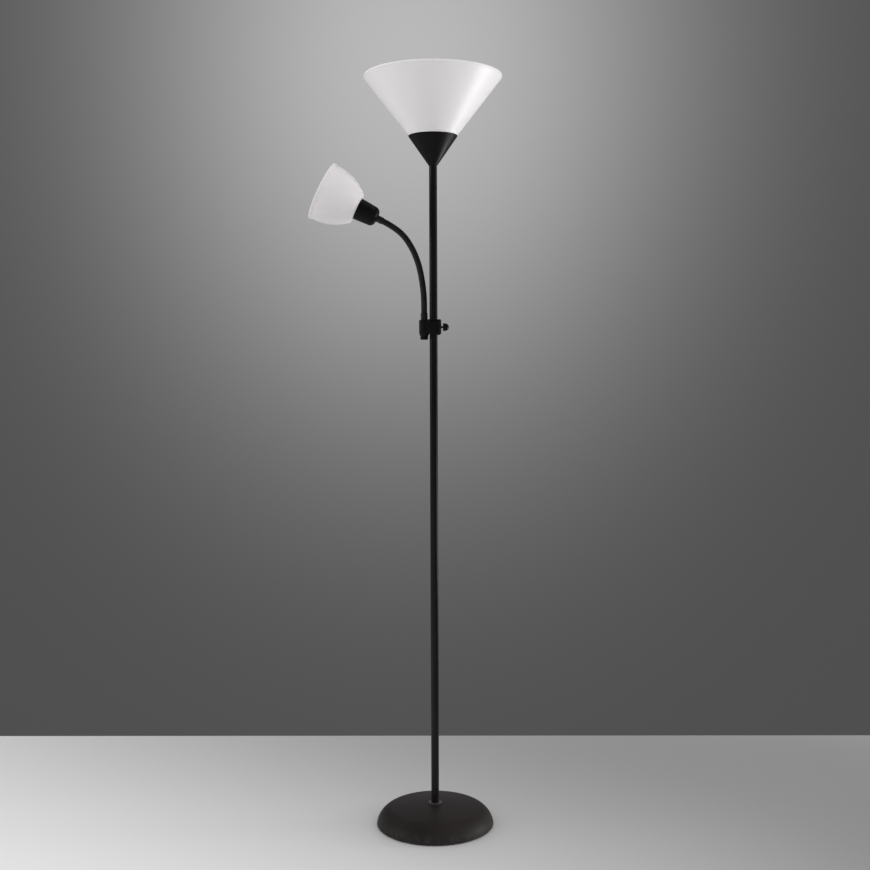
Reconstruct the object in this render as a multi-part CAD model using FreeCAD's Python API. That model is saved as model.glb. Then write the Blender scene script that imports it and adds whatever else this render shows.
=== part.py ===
"""Torchiere floor lamp with a reading light on a gooseneck.

Millimetres, +Z up.  The origin is on the floor, on the axis of the pole.
The reading light leans towards -X and the switch knob points towards +X.
"""
import FreeCAD, Part
import math
import os

from FreeCAD import Placement, Rotation, Vector

# ---------------------------------------------------------------- clearances
fit_gap = 0.05            # radial, pieces pushed or screwed together
running_gap = 0.08        # radial, a shaft that turns in its bore
face_gap = 0.3            # between faces that move past each other

# ---------------------------------------------------------------- base
base_radius = 142.9       # widest circle of the dome
dome_top = 50.0           # height of the flat seat in the middle
dome_wall = 1.2
dome_rim_height = 2.5     # the pressed edge stops this far above the floor
crown_radius = 612.0      # long arc of the dome's section
shoulder_radius = 45.9    # short arc that turns down to the rim
seat_radius = 17.0
pad_thickness = 3.0
pad_inset = 8.0           # pad edge inside the rim
pad_round = 0.8
weight_inset = 16.9       # weight's edge inside the rim
weight_edge_height = 24.0
weight_edge_round = 4.0
weight_hub_radius = 30.0
weight_hub_fillet = 17.0
weight_hub_chamfer = 3.0
weight_recess_radius = 22.0
weight_recess_depth = 27.0
channel_width = 11.0
collar_radius = 16.5
collar_thickness = 3.0
collar_round = 1.2
grommet_height = 13.0     # axis above the floor
grommet_body_radius = 4.2
grommet_flange_radius = 6.0
grommet_flange = 1.4
grommet_bore_radius = 2.7
grommet_length = 8.0
grommet_groove_margin = 0.4

# ---------------------------------------------------------------- threaded pipe and nuts
pipe_radius = 5.0
pipe_bore_radius = 3.0
nut_across_flats = 14.0
nut_thickness = 5.0
washer_radius = 9.0
washer_thickness = 1.5
pipe_end = 1.5            # pipe that shows past a nut

# ---------------------------------------------------------------- pole
pole_radius = 9.5
pole_wall = 0.8
lower_pole_length = 570.0
middle_pole_length = 569.0    # seen part, up to the housing
upper_pole_length = 362.0     # seen part, from the housing to the cup
bush_length = 20.0
joint_bush_length = 50.0
joint_bush_bore_radius = 5.0

# ---------------------------------------------------------------- switch housing
housing_reach = 18.5          # pole axis to the housing's free end
housing_height = 37.0
housing_half_depth = 14.6
housing_corner = 9.0          # upright corners of the free end
housing_round = 5.0           # top of the free end
housing_foot_round = 7.0      # foot of the free end
housing_edge_round = 1.0
housing_front_x = -8.0        # the flat front starts here and narrows towards the barrel
housing_front_bend = 20.0
housing_foot_x = -5.0         # the foot starts to rise here towards the barrel
housing_foot_rise = 7.5       # rise up to the barrel's axis
housing_foot_blend = 12.0
saddle_radius = 11.0          # round dip in the top edge in front of and behind the pole
saddle_rise = 5.5             # its axis above the housing's top
pole_socket_depth = 12.0
chamber_radius = 12.4
chamber_margin = 0.5          # chamber past the pole ends
window_half = 4.0             # passage for the wires between chamber and barrel
ring_radius = 12.0
ring_thickness = 2.5
ring_inset = 7.2              # ring from the housing's end face
ring_gap = 0.1
barrel_offset = 22.3          # barrel axis from the pole axis, towards -X
barrel_radius = 12.25
barrel_top_drop = 1.5         # barrel's top below the housing's top
barrel_top_chamfer = 1.2
barrel_bottom_drop = 2.0      # barrel's foot below the housing's foot
barrel_foot_radius = 10.0
barrel_taper_height = 6.0
barrel_pocket_radius = 9.2
barrel_top_wall = 6.5
barrel_mouth_radius = 8.0
barrel_mouth_wall = 3.0
web_barrel_half = 10.6        # half depth of the housing at the barrel's axis
screw_x = 14.4
web_screw_x = -14.5
web_screw_drop = 3.2          # web screw below the barrel's top
screw_inset = 5.4             # screws from the housing's end faces
screw_radius = 1.1
screw_head_radius = 2.2
screw_head_height = 1.6
screw_head_y = 7.0            # seat of the heads behind the parting plane
screw_length = 14.0

# ---------------------------------------------------------------- switch
switch_width = 14.0
switch_height = 12.4
switch_edge = 1.0
switch_neck_radius = 3.9
switch_neck_depth = 0.4       # neck stops this far inside the housing wall
shaft_radius = 2.4
shaft_depth = 6.0             # shaft inside the switch body
knob_gap = 3.9                # housing wall to the knob's flat face
knob_radius = 9.25
knob_length = 14.2
knob_edge_round = 1.2
knob_grip_length = 6.0
knob_grip_draft = 0.28        # radius lost along the grip
knob_bore_depth = 9.5
knob_flutes = 18
knob_flute_radius = 0.9
knob_flute_depth = 0.35

# ---------------------------------------------------------------- gooseneck
neck_radius = 7.25
neck_bore_radius = 3.0
ferrule_radius = 8.25
ferrule_length = 16.0
ferrule_floor = 3.0           # solid end of the ferrule under the tube
ferrule_round = 1.0
neck_straight = 34.5          # barrel's top to the start of the bends
# Length and turn of each stretch between two hinges, foot to head.
neck_lengths = (40.0, 40.0, 40.0, 40.0, 38.0, 38.0)
neck_turns = (6.5, 5.0, 10.5, 12.0, 20.0, 9.5)
ball_radius = 7.7
flare_end_radius = 5.2        # mouth of the bore in the ball
spigot_drop = 8.5             # threaded spigot below the barrel's top wall
spacer_gap = 0.2              # washer to the barrel's top wall
neck_washer_radius = 8.0
end_cap_radius = 9.35
end_cap_height = 9.5
end_cap_round = 2.5
end_cap_plug = 5.0
end_cap_recess_radius = 6.0
end_cap_recess = 9.0
end_cap_flutes = 16
end_cap_flute_radius = 0.9
end_cap_flute_depth = 0.4

# ---------------------------------------------------------------- wires
wire_radius = 1.2
wire_half_pitch = 1.5
wire_bend = 8.0
feed_bend = 5.0
feed_rise = 1.4
wire_rest = 2.0               # wire stops this far from a hinge
wire_step = 0.7               # gap between fixed and turning wires

# ---------------------------------------------------------------- top cup and main light
cup_foot_radius = 9.6
cup_rim_radius = 58.4
cup_height = 70.0
cup_wall = 2.2                # measured across, horizontally
cup_floor = 4.0
socket_foot_radius = 13.5
socket_foot_height = 14.5
socket_body_radius = 17.5
socket_flange_radius = 24.0
socket_flange = 3.0
socket_sleeve_radius = 19.7
socket_sleeve_height = 15.0
socket_bore_radius = 14.4
socket_round = 1.0
socket_floor_drop = 18.0      # bore floor below the shade's flat bottom
shade_floor_drop = 18.0       # shade's flat bottom below the cup's rim
socket_wire_depth = 10.0      # wires end this far inside the socket
shell_outer_radius = 14.2
shell_wall = 0.8
shell_lip_radius = 10.0
shell_height = 27.0
contact_radius = 5.0
contact_height = 3.0
contact_tip_radius = 3.0
contact_step = 1.0            # height of the wide step, in both sockets
contact_round = 0.7
shade_ring_radius = 28.0
shade_ring_height = 6.0
shade_ring_round = 1.5
shade_ring_notches = 12
shade_ring_notch_radius = 1.4
shade_ring_notch_depth = 0.7
shade_foot_round = 1.0
shade_wall = 2.2
shade_skirt_gap = 1.2         # skirt inside the cup
shade_bead_radius = 59.2
shade_bead_height = 2.2
shade_bead_step = 0.8
shade_cone_radius = 161.0
shade_cone_height = 133.5     # cup's rim to the top of the cone
shade_lip_radius = 163.5
shade_lip_flare = 2.3         # height in which the wall opens out to the lip
shade_lip_height = 5.5
shade_lip_round = 0.9
shade_flare_round = 1.5
bulb_cap_radius = 13.1
bulb_cap_height = 26.5
bulb_tip_radius = 4.4
bulb_tip_height = 3.3
bulb_neck_radius = 13.6
bulb_neck_height = 8.0
bulb_radius = 30.0
bulb_height = 106.0           # cap and globe together
bulb_wall = 1.2
seat_lift = 0.2               # bulb above the contact

# ---------------------------------------------------------------- reading light
head_ferrule_length = 15.0
head_cup_length = 51.0
head_cup_back_radius = 22.5
head_cup_rim_radius = 26.25
head_cup_back_flat = 9.0
head_cup_wall = 1.7
head_cup_back_wall = 3.0
head_spigot_length = 9.5
head_socket_length = 38.0     # behind the shade
head_socket_radius = 12.0
head_flange_radius = 17.0
head_flange = 3.0
head_sleeve_radius = 13.9
head_sleeve_height = 10.0
head_socket_round = 0.8
head_bore_radius = 8.7
head_bore_depth = 22.0        # behind the shade
head_shell_outer_radius = 8.5
head_shell_wall = 0.7
head_shell_lip_radius = 5.0
head_shell_height = 26.0
head_contact_radius = 3.6
head_contact_height = 3.0
head_contact_tip_radius = 2.2
head_ring_radius = 19.5
head_ring_height = 6.0
head_ring_notches = 10
head_ring_notch_radius = 1.2
head_ring_notch_depth = 0.6
head_shade_wall = 2.0
bell_radius = 69.4            # straight part before the lip
bell_flank_radius = 120.5     # long arc of the bell's section
bell_shoulder_radius = 12.0   # short arc between the flat back and the flank
bell_flank_end = 84.0         # distances from the cup's rim plane
bell_lip_start = 86.0
bell_lip_end = 92.0
bell_length = 95.5
bell_lip_radius = 71.4
reading_cap_radius = 7.0
reading_cap_height = 24.5
reading_tip_radius = 2.3
reading_tip_height = 3.0
reading_neck_radius = 8.3
reading_neck_height = 5.0
reading_bulb_radius = 22.5
reading_bulb_height = 78.0

# ---------------------------------------------------------------- places worked out from the sizes
pole_bottom = dome_top + collar_thickness
middle_pole_bottom = pole_bottom + lower_pole_length
housing_bottom = middle_pole_bottom + middle_pole_length
housing_top = housing_bottom + housing_height
housing_middle = housing_bottom + housing_height / 2
pole_top = housing_top + upper_pole_length
cup_rim = pole_top + cup_height
middle_pole_end = housing_bottom + pole_socket_depth
upper_pole_start = housing_top - pole_socket_depth
barrel_top = housing_top - barrel_top_drop
barrel_bottom = housing_bottom - barrel_bottom_drop
barrel_ceiling = barrel_top - barrel_top_wall
spigot_bottom = barrel_ceiling - spigot_drop
pole_bore_radius = pole_radius - pole_wall
shade_floor = cup_rim - shade_floor_drop
neck_start = barrel_top + neck_straight
Z_AXIS = Vector(0, 0, 1)
ORIGIN = Vector(0, 0, 0)


# ---------------------------------------------------------------- geometry helpers
def point(radius, height):
    """Point of a turned section, in the XZ plane."""
    return Vector(radius, 0, height)


def line(start, end):
    return Part.LineSegment(start, end).toShape()


def arc(start, middle, end):
    return Part.Arc(start, middle, end).toShape()


def circle_point(centre, radius, angle):
    """Point at an angle, in radians, from the +X direction of the section."""
    return centre + Vector(radius * math.cos(angle), 0, radius * math.sin(angle))


def arc_about(centre, radius, start, end):
    """Arc of a circle in the section, between two of its points."""
    first = math.atan2(start.z - centre.z, start.x - centre.x)
    last = math.atan2(end.z - centre.z, end.x - centre.x)
    return arc(start, circle_point(centre, radius, (first + last) / 2), end)


def rounded_edges(corners):
    """Edges of a closed outline; a corner is (radius, height) or (radius, height, rounding)."""
    edges = []
    places = [point(corner[0], corner[1]) for corner in corners]
    ends = []
    for index, corner in enumerate(corners):
        here = places[index]
        before = (places[index - 1] - here).normalize()
        after = (places[(index + 1) % len(places)] - here).normalize()
        rounding = corner[2] if len(corner) > 2 else 0.0
        half = before.getAngle(after) / 2
        if rounding == 0.0:
            ends.append((here, here, here))
            continue
        reach = rounding / math.tan(half)
        bisector = (before + after).normalize()
        middle = here + bisector * (rounding / math.sin(half) - rounding)
        ends.append((here + before * reach, middle, here + after * reach))
    for index, (start, middle, end) in enumerate(ends):
        if (end - start).Length > 1e-6:
            edges.append(arc(start, middle, end))
        following = ends[(index + 1) % len(ends)][0]
        edges.append(line(end, following))
    return edges


def outline_face(edges):
    return Part.Face(Part.Wire(Part.__sortEdges__(edges)))


def turned_edges(edges):
    """Solid of revolution about the Z axis."""
    return outline_face(edges).revolve(ORIGIN, Z_AXIS, 360)


def turned(corners):
    return turned_edges(rounded_edges(corners))


def rod(radius, bottom, top, x=0.0, y=0.0):
    return Part.makeCylinder(radius, top - bottom, Vector(x, y, bottom))


def tube(outer, inner, bottom, top):
    return rod(outer, bottom, top).cut(rod(inner, bottom, top))


def hex_nut(bore, bottom, top):
    corner = nut_across_flats / math.sqrt(3)
    corners = [Vector(corner * math.cos(math.radians(60 * side)),
                      corner * math.sin(math.radians(60 * side)), bottom) for side in range(7)]
    body = Part.Face(Part.makePolygon(corners)).extrude(Vector(0, 0, top - bottom))
    return body.cut(rod(bore, bottom, top))


def pipe_washer(bottom):
    return tube(washer_radius, pipe_radius + fit_gap, bottom, bottom + washer_thickness)


def fluted(body, count, radius, flute_radius, depth, bottom, top):
    """Cut shallow grip flutes round a turned body."""
    pitch_radius = radius + flute_radius - depth
    flutes = []
    for number in range(count):
        angle = 2 * math.pi * number / count
        flutes.append(rod(flute_radius, bottom, top,
                          pitch_radius * math.cos(angle), pitch_radius * math.sin(angle)))
    return body.cut(Part.makeCompound(flutes))


def moved(shape, offset):
    copy = shape.copy()
    copy.translate(offset)
    return copy


def tangent_point(outside, centre, radius):
    """Point where a line from outside touches the circle on its far right."""
    away = outside - centre
    swing = math.acos(radius / away.Length)
    return circle_point(centre, radius, math.atan2(away.z, away.x) + swing)


# ---------------------------------------------------------------- base
crown_centre = point(0, dome_top - math.sqrt(crown_radius ** 2 - seat_radius ** 2))
shoulder_x = base_radius - shoulder_radius
shoulder_centre = point(shoulder_x, crown_centre.z
                        + math.sqrt((crown_radius - shoulder_radius) ** 2 - shoulder_x ** 2))


def dome_line(inset):
    """Crown and shoulder arcs, set in from the outside; returns edges, first and last point."""
    crown = crown_radius - inset
    shoulder = shoulder_radius - inset
    start = point(seat_radius, crown_centre.z + math.sqrt(crown ** 2 - seat_radius ** 2))
    lean = math.atan2(shoulder_centre.z - crown_centre.z, shoulder_centre.x)
    meet = circle_point(crown_centre, crown, lean)
    drop = dome_rim_height - shoulder_centre.z
    end = point(shoulder_centre.x + math.sqrt(shoulder ** 2 - drop ** 2), dome_rim_height)
    edges = [arc_about(crown_centre, crown, start, meet), arc_about(shoulder_centre, shoulder, meet, end)]
    return edges, start, end


def dome_radius_at(height, inset=0.0):
    rise = height - shoulder_centre.z
    return shoulder_centre.x + math.sqrt((shoulder_radius - inset) ** 2 - rise ** 2)


def along_y(shape, height):
    """Lay a shape turned about Z along the Y axis, at a height."""
    copy = shape.copy()
    copy.Placement = Placement(Vector(0, 0, height), Rotation(Vector(1, 0, 0), -90))
    return copy


def base_cover():
    outer, outer_start, outer_end = dome_line(0.0)
    inner, inner_start, inner_end = dome_line(dome_wall)
    hole = pipe_radius + running_gap
    edges = outer + inner + [
        line(outer_end, inner_end),
        line(inner_start, point(hole, inner_start.z)),
        line(point(hole, inner_start.z), point(hole, outer_start.z)),
        line(point(hole, outer_start.z), outer_start)]
    shell = turned_edges(edges)
    inlet = rod(grommet_body_radius + fit_gap, base_radius - 4 * grommet_length, base_radius)
    return shell.cut(along_y(inlet, grommet_height))


def base_weight():
    hub_top = dome_line(dome_wall)[1].z
    floor = pad_thickness
    edge = base_radius - weight_inset
    body = turned([
        (weight_recess_radius, floor), (edge, floor),
        (edge, floor + weight_edge_height, weight_edge_round),
        (weight_hub_radius + weight_hub_fillet, floor + weight_edge_height, weight_hub_fillet),
        (weight_hub_radius, hub_top - weight_hub_chamfer),
        (seat_radius, hub_top), (pipe_radius + running_gap, hub_top),
        (pipe_radius + running_gap, floor + weight_recess_depth),
        (weight_recess_radius, floor + weight_recess_depth)])
    height = 2 * (grommet_height - floor)
    channel = Part.makeBox(channel_width, edge, height, Vector(-channel_width / 2, 0, floor))
    return body.cut(channel)


def base_pad():
    """Foam disc glued under the weight, over the recess of the nut."""
    edge = base_radius - pad_inset
    return turned([(0, 0), (edge, 0, pad_round), (edge, pad_thickness), (0, pad_thickness)])


def base_collar():
    top = dome_top + collar_thickness
    hole = pipe_radius + running_gap
    return turned([(hole, dome_top), (collar_radius, dome_top),
                   (collar_radius, top, collar_round), (hole, top)])


def base_fastening():
    """Threaded pipe that clamps pole, collar, cover and weight, with its washer and nut."""
    seat = pad_thickness + weight_recess_depth
    nut_top = seat - washer_thickness
    nut_bottom = nut_top - nut_thickness
    pipe = tube(pipe_radius, pipe_bore_radius, nut_bottom - pipe_end, pole_bottom + bush_length - pipe_end)
    return pipe, pipe_washer(nut_top), hex_nut(pipe_radius + fit_gap, nut_bottom, nut_top)


def cord_grommet():
    """Rubber ring in the rear wall of the dome, turned about the cord's axis."""
    outer_face = dome_radius_at(grommet_height - grommet_flange_radius) + grommet_flange
    flange_face = outer_face - grommet_flange
    inner_face = flange_face - grommet_length
    ring = turned([
        (grommet_bore_radius, inner_face), (grommet_body_radius, inner_face, grommet_groove_margin),
        (grommet_body_radius, flange_face), (grommet_flange_radius, flange_face),
        (grommet_flange_radius, outer_face, grommet_flange / 2), (grommet_bore_radius, outer_face)])
    return along_y(ring, grommet_height)


# ---------------------------------------------------------------- pole
def pole_section(bottom, top):
    return tube(pole_radius, pole_bore_radius, bottom, top)


def pole_bush(bottom, top, bore):
    return tube(pole_bore_radius - fit_gap, bore, bottom, top)


def pole_end_bushes():
    """Threaded bushes in the foot and the head of the pole."""
    bore = pipe_radius + fit_gap
    return Part.makeCompound([pole_bush(pole_bottom, pole_bottom + bush_length, bore),
                              pole_bush(pole_top - bush_length, pole_top, bore)])


def pole_end_rings():
    """Two steel rings on the pole ends that the housing halves grip."""
    ring = tube(ring_radius, pole_radius + fit_gap, 0, ring_thickness)
    lower = moved(ring, Vector(0, 0, housing_bottom + ring_inset))
    upper = moved(ring, Vector(0, 0, housing_top - ring_inset - ring_thickness))
    return Part.makeCompound([lower, upper])


# ---------------------------------------------------------------- switch housing
def screw_places():
    return ((screw_x, housing_bottom + screw_inset), (screw_x, housing_top - screw_inset),
            (web_screw_x, barrel_top - web_screw_drop))


def housing_block():
    """Plan and front outlines, each drawn through, and the solid they share, with eased edges."""
    half = housing_half_depth
    plan = outline_face(rounded_edges([
        (-barrel_offset, -web_barrel_half), (housing_front_x, -half, housing_front_bend),
        (housing_reach, -half, housing_corner), (housing_reach, half, housing_corner),
        (housing_front_x, half, housing_front_bend), (-barrel_offset, web_barrel_half)]))
    plan.Placement = Placement(Vector(0, 0, housing_bottom), Rotation(Vector(1, 0, 0), -90))
    past_end = housing_reach + housing_edge_round
    front = outline_face(rounded_edges([
        (-barrel_offset, housing_bottom + housing_foot_rise),
        (housing_foot_x, housing_bottom, housing_foot_blend),
        (past_end, housing_bottom, housing_foot_round),
        (past_end, housing_top, housing_round), (-barrel_offset, housing_top)]))
    through = moved(front, Vector(0, -2 * half, 0)).extrude(Vector(0, 4 * half, 0))
    block = plan.extrude(Vector(0, 0, housing_height)).common(through)
    inside = -barrel_offset + housing_edge_round
    turns = [edge for edge in block.Edges
             if edge.BoundBox.XMax > inside and edge.BoundBox.YLength < half
             and edge.BoundBox.ZLength < half]
    return block.makeFillet(housing_edge_round, turns)


def housing_outside():
    barrel = turned([(0, barrel_bottom), (barrel_foot_radius, barrel_bottom),
                     (barrel_radius, barrel_bottom + barrel_taper_height),
                     (barrel_radius, barrel_top - barrel_top_chamfer),
                     (barrel_radius - barrel_top_chamfer, barrel_top), (0, barrel_top)])
    body = housing_block().fuse(moved(barrel, Vector(-barrel_offset, 0, 0)))
    start = Vector(0, -2 * housing_half_depth, housing_top + saddle_rise)
    saddle = Part.makeCylinder(saddle_radius, 4 * housing_half_depth, start, Vector(0, 1, 0))
    return body.cut(saddle)


def housing_hollows():
    """Everything that is cut from the inside of the two halves."""
    pole = rod(pole_radius + fit_gap, housing_bottom, housing_top)
    chamber_bottom = middle_pole_end - chamber_margin
    chamber_top = upper_pole_start + chamber_margin
    chamber = rod(chamber_radius, chamber_bottom, chamber_top)
    window = Part.makeBox(barrel_offset, 2 * window_half, chamber_top - chamber_bottom,
                          Vector(-barrel_offset, -window_half, chamber_bottom))
    groove = rod(ring_radius + ring_gap, housing_bottom + ring_inset - ring_gap,
                 housing_bottom + ring_inset + ring_thickness + ring_gap)
    groove_shift = housing_height - 2 * ring_inset - ring_thickness
    pocket = rod(barrel_pocket_radius, barrel_bottom + barrel_mouth_wall, barrel_ceiling, -barrel_offset)
    mouth = rod(barrel_mouth_radius, barrel_bottom, barrel_bottom + barrel_mouth_wall, -barrel_offset)
    bore = rod(pipe_radius + running_gap, barrel_ceiling, barrel_top, -barrel_offset)
    seat = rod(barrel_radius - barrel_top_chamfer, barrel_top, housing_top, -barrel_offset)
    neck = Part.makeCylinder(switch_neck_radius + fit_gap, housing_reach,
                             Vector(0, 0, housing_middle), Vector(1, 0, 0))
    return [pole, chamber, window, groove, moved(groove, Vector(0, 0, groove_shift)),
            pocket, mouth, bore, seat, neck]


def housing_halves():
    """Front and back mouldings, parted on the plane through the pole and the barrel."""
    body = housing_outside().cut(housing_hollows())
    reach = housing_reach + barrel_offset + barrel_radius
    front_room = Part.makeBox(2 * reach, reach, housing_height + 2 * reach,
                              Vector(-reach, -reach, housing_bottom - reach))
    front = body.common(front_room)
    back = body.cut(front_room)
    shank_end = screw_head_y - screw_length
    for x, z in screw_places():
        seat = Vector(x, screw_head_y, z)
        pilot = Part.makeCylinder(screw_radius + fit_gap, screw_length + face_gap,
                                  Vector(x, shank_end - face_gap, z), Vector(0, 1, 0))
        access = Part.makeCylinder(screw_head_radius + face_gap, housing_half_depth, seat, Vector(0, 1, 0))
        front = front.cut(pilot)
        back = back.cut([pilot, access])
    return front, back


def housing_screws():
    screws = []
    for x, z in screw_places():
        shank = Part.makeCylinder(screw_radius, screw_length, Vector(x, screw_head_y - screw_length, z),
                                  Vector(0, 1, 0))
        head = Part.makeCylinder(screw_head_radius, screw_head_height, Vector(x, screw_head_y, z),
                                 Vector(0, 1, 0))
        head = head.makeFillet(screw_head_height / 2, [head.Edges[0]])
        screws.append(shank.fuse(head).removeSplitter())
    return Part.makeCompound(screws)


# ---------------------------------------------------------------- switch
def along_x(shape):
    """Lay a shape turned about Z along the X axis, at the height of the switch."""
    copy = shape.copy()
    copy.Placement = Placement(Vector(0, 0, housing_middle), Rotation(Vector(0, 1, 0), 90))
    return copy


def switch_body():
    half = switch_width / 2
    block = Part.makeBox(switch_width, switch_width, switch_height,
                         Vector(-half, -half, housing_middle - switch_height / 2))
    block = block.makeChamfer(switch_edge, block.Edges)
    neck = along_x(rod(switch_neck_radius, half - switch_edge, housing_reach - switch_neck_depth))
    bore = along_x(rod(shaft_radius + running_gap, half - shaft_depth, housing_reach))
    return block.fuse(neck).cut(bore)


def switch_shaft():
    start = switch_width / 2 - shaft_depth + face_gap
    end = housing_reach + knob_gap + knob_bore_depth - face_gap
    return along_x(turned([(0, start), (shaft_radius, start), (shaft_radius, end, face_gap), (0, end)]))


def switch_knob():
    """Domed knob with fine grip flutes, turned about the shaft's axis."""
    start = housing_reach + knob_gap
    end = start + knob_length
    grip_end = start + knob_grip_length
    bore_end = start + knob_bore_depth
    bore = shaft_radius + fit_gap
    crown = knob_radius - knob_grip_draft
    diagonal = math.sqrt(0.5)
    dome_middle = point(crown * diagonal, grip_end + (end - grip_end) * diagonal)
    round_centre = point(knob_radius - knob_edge_round, start + knob_edge_round)
    round_start = point(round_centre.x, start)
    round_end = point(knob_radius, round_centre.z)
    edges = [line(point(bore, start), round_start),
             arc_about(round_centre, knob_edge_round, round_start, round_end),
             line(round_end, point(crown, grip_end)),
             arc(point(crown, grip_end), dome_middle, point(0, end)),
             line(point(0, end), point(0, bore_end)),
             line(point(0, bore_end), point(bore, bore_end)),
             line(point(bore, bore_end), point(bore, start))]
    body = turned_edges(edges)
    return along_x(fluted(body, knob_flutes, knob_radius, knob_flute_radius, knob_flute_depth,
                          start, grip_end))


# ---------------------------------------------------------------- gooseneck
def neck_frames():
    """Point and lean, in degrees from vertical, at the start and after each stretch."""
    here = Vector(-barrel_offset, 0, neck_start)
    lean = 0.0
    frames = [(here, lean)]
    for length, turn in zip(neck_lengths, neck_turns):
        bend = length / math.radians(turn)
        centre = here + side(lean) * bend
        here = centre - side(lean + turn) * bend
        lean = lean + turn
        frames.append((here, lean))
    return frames


def heading(lean):
    return Vector(-math.sin(math.radians(lean)), 0, math.cos(math.radians(lean)))


def side(lean):
    """Direction towards the centre of a bend."""
    return Vector(-math.cos(math.radians(lean)), 0, -math.sin(math.radians(lean)))


def bent_rod(stretch, radius, y, start, end):
    """Round bar along one stretch of the neck, between two distances from its start."""
    origin, lean = neck_frames()[stretch]
    turn = neck_turns[stretch]
    bend = neck_lengths[stretch] / math.radians(turn)
    centre = origin + side(lean) * bend
    first = lean + math.degrees(start / bend)
    place = centre - side(first) * bend + Vector(0, y, 0)
    disc = Part.Face(Part.Wire(Part.makeCircle(radius, place, heading(first))))
    return disc.revolve(centre, Vector(0, -1, 0), math.degrees((end - start) / bend))


def straight_rod(frame, radius, y, length):
    origin, lean = frame
    return Part.makeCylinder(radius, length, origin + Vector(0, y, 0), heading(lean))


def ball_end(body, frame):
    """Close the upper end of a link with a ball and flare its bore."""
    origin, lean = frame
    neck = straight_rod(frame, neck_radius, 0, ball_radius)
    cap = neck.common(Part.makeSphere(ball_radius, origin))
    flare = Part.makeCone(neck_bore_radius, flare_end_radius, ball_radius, origin, heading(lean))
    return body.fuse(cap).removeSplitter().cut(flare)


def socket_end(body, frame):
    """Hollow the lower end of a link to follow the ball below it."""
    return body.cut(Part.makeSphere(ball_radius + face_gap, frame[0]))


def neck_tubes():
    """Six lengths of the covered tube, foot to head, in the order of the stretches."""
    frames = neck_frames()
    tubes = []
    last = len(neck_lengths) - 1
    for stretch, length in enumerate(neck_lengths):
        body = bent_rod(stretch, neck_radius, 0, 0, length)
        bore = bent_rod(stretch, neck_bore_radius, 0, 0, length)
        if stretch == 0:
            foot = barrel_top + face_gap + ferrule_floor
            body = rod(neck_radius, foot, neck_start, -barrel_offset).fuse(body)
            bore = rod(neck_bore_radius, foot, neck_start, -barrel_offset).fuse(bore)
        if stretch == last:
            inside = head_ferrule_length - ferrule_floor
            body = body.fuse(straight_rod(frames[-1], neck_radius, 0, inside))
            bore = bore.fuse(straight_rod(frames[-1], neck_bore_radius, 0, inside))
        body = body.removeSplitter().cut(bore.removeSplitter())
        if stretch < last:
            body = ball_end(body, frames[stretch + 1])
        if stretch > 0:
            body = socket_end(body, frames[stretch])
        tubes.append(body)
    return tubes


def neck_wires():
    """The pair of wires in each length of the neck."""
    frames = neck_frames()
    pairs = []
    last = len(neck_lengths) - 1
    for stretch, length in enumerate(neck_lengths):
        start = wire_rest if stretch > 0 else 0
        end = length - wire_rest if stretch < last else length
        pair = []
        for y in (-wire_half_pitch, wire_half_pitch):
            wire = bent_rod(stretch, wire_radius, y, start, end)
            if stretch == 0:
                wire = rod(wire_radius, spigot_bottom, neck_start, -barrel_offset, y).fuse(wire)
            if stretch == last:
                inside = head_ferrule_length + head_cup_length - head_socket_length
                wire = wire.fuse(straight_rod(frames[-1], wire_radius, y, inside))
            pair.append(wire.removeSplitter())
        pairs.append(Part.makeCompound(pair))
    return pairs


def neck_foot():
    """Turned ferrule with the threaded spigot that swivels in the barrel."""
    bottom = barrel_top + face_gap
    floor = bottom + ferrule_floor
    body = turned([
        (pipe_bore_radius, spigot_bottom), (pipe_radius, spigot_bottom), (pipe_radius, bottom),
        (ferrule_radius, bottom, ferrule_round),
        (ferrule_radius, bottom + ferrule_length, ferrule_round / 2),
        (neck_radius + fit_gap, bottom + ferrule_length), (neck_radius + fit_gap, floor),
        (pipe_bore_radius, floor)])
    return moved(body, Vector(-barrel_offset, 0, 0))


def neck_fastening():
    washer_top = barrel_ceiling - spacer_gap
    nut_top = washer_top - washer_thickness
    washer = tube(neck_washer_radius, pipe_radius + fit_gap, nut_top, washer_top)
    nut = hex_nut(pipe_radius + fit_gap, nut_top - nut_thickness, nut_top)
    offset = Vector(-barrel_offset, 0, 0)
    return moved(washer, offset), moved(nut, offset)


def neck_end_cap():
    """Fluted cap that closes the barrel from below."""
    bottom = barrel_bottom - end_cap_height
    plug = barrel_mouth_radius - fit_gap
    top = barrel_bottom + end_cap_plug
    body = turned([(0, bottom), (end_cap_radius, bottom, end_cap_round), (end_cap_radius, barrel_bottom),
                   (plug, barrel_bottom), (plug, top),
                   (end_cap_recess_radius, top), (end_cap_recess_radius, top - end_cap_recess),
                   (0, top - end_cap_recess)])
    body = fluted(body, end_cap_flutes, end_cap_radius, end_cap_flute_radius, end_cap_flute_depth,
                  bottom, barrel_bottom)
    return moved(body, Vector(-barrel_offset, 0, 0))


# ---------------------------------------------------------------- wires in pole and housing
def wire_pair(make):
    return Part.makeCompound([make(-wire_half_pitch), make(wire_half_pitch)])


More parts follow.
